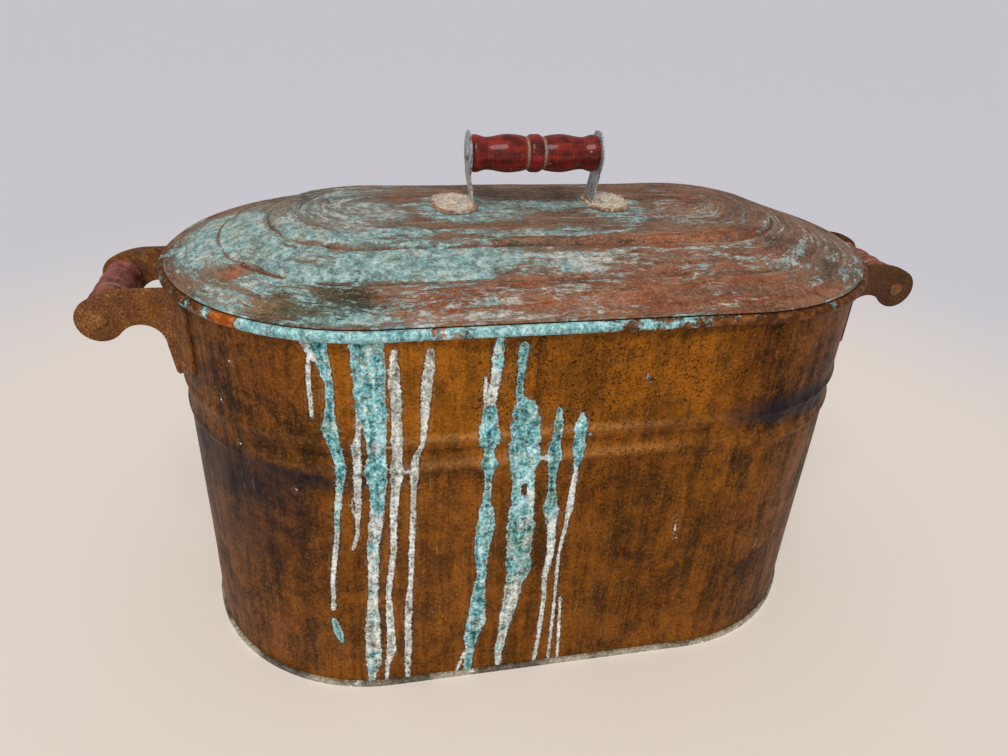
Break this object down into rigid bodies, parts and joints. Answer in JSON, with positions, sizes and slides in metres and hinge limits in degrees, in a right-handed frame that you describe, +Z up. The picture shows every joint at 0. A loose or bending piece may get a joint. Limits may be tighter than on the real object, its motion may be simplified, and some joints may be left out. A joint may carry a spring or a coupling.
{
  "type": "laundry boiler",
  "caption": "Oval copper wash boiler with a wired rim, a beaded wall, a loose stepped lid and turned wooden handles at both ends and on the lid.",
  "frame": {"origin": "centre of the base, on the surface that the boiler stands on", "axes": "+X along the length towards the right handle, +Y to the back, +Z up"},
  "size_m": [0.71, 0.3248, 0.4375],
  "materials": {
    "wall_copper": "aged copper, heat stained, with verdigris runs",
    "bottom_copper": "dull copper with a tinned seam",
    "lid_copper": "copper under verdigris",
    "skirt_copper": "dull copper",
    "rim_iron": "plain iron wire",
    "ear_steel": "evenly rusted",
    "strap_steel": "tinned, with rust and white bloom",
    "faded_wood": "worn red paint",
    "varnished_wood": "dark red stain under gloss varnish"
  },
  "bodies": {
    "tub": {"front_wall": "wall_copper", "back_wall": "wall_copper", "bottom_panel": "bottom_copper", "rim_wire": "rim_iron", "left_front_ear": "ear_steel", "left_back_ear": "ear_steel", "right_front_ear": "ear_steel", "right_back_ear": "ear_steel", "left_front_ear_rivets": "ear_steel", "left_back_ear_rivets": "ear_steel", "right_front_ear_rivets": "ear_steel", "right_back_ear_rivets": "ear_steel", "left_grip_rod": "ear_steel", "right_grip_rod": "ear_steel"},
    "left_grip": {"left_grip": "faded_wood"},
    "right_grip": {"right_grip": "faded_wood"},
    "lid": {"lid_panel": "lid_copper", "lid_skirt": "skirt_copper", "lid_left_strap": "strap_steel", "lid_right_strap": "strap_steel", "lid_grip_rod": "strap_steel", "lid_strap_rivets": "strap_steel", "lid_rivet_burrs": "skirt_copper"},
    "lid_grip": {"lid_grip": "varnished_wood"}
  },
  "joints": [
    {"name": "lid_lift", "type": "slide", "parent": "tub", "child": "lid", "axis": [0, 0, 1], "range_m": [0, 0.15]},
    {"name": "left_grip_spin", "type": "hinge", "parent": "tub", "child": "left_grip", "pos_m": [-0.3375, 0, 0.3075], "axis": [0, 1, 0], "continuous": true},
    {"name": "right_grip_spin", "type": "hinge", "parent": "tub", "child": "right_grip", "pos_m": [0.3375, 0, 0.3075], "axis": [0, 1, 0], "continuous": true},
    {"name": "lid_grip_spin", "type": "hinge", "parent": "lid", "child": "lid_grip", "pos_m": [0, 0, 0.41954], "axis": [1, 0, 0], "continuous": true}
  ]
}
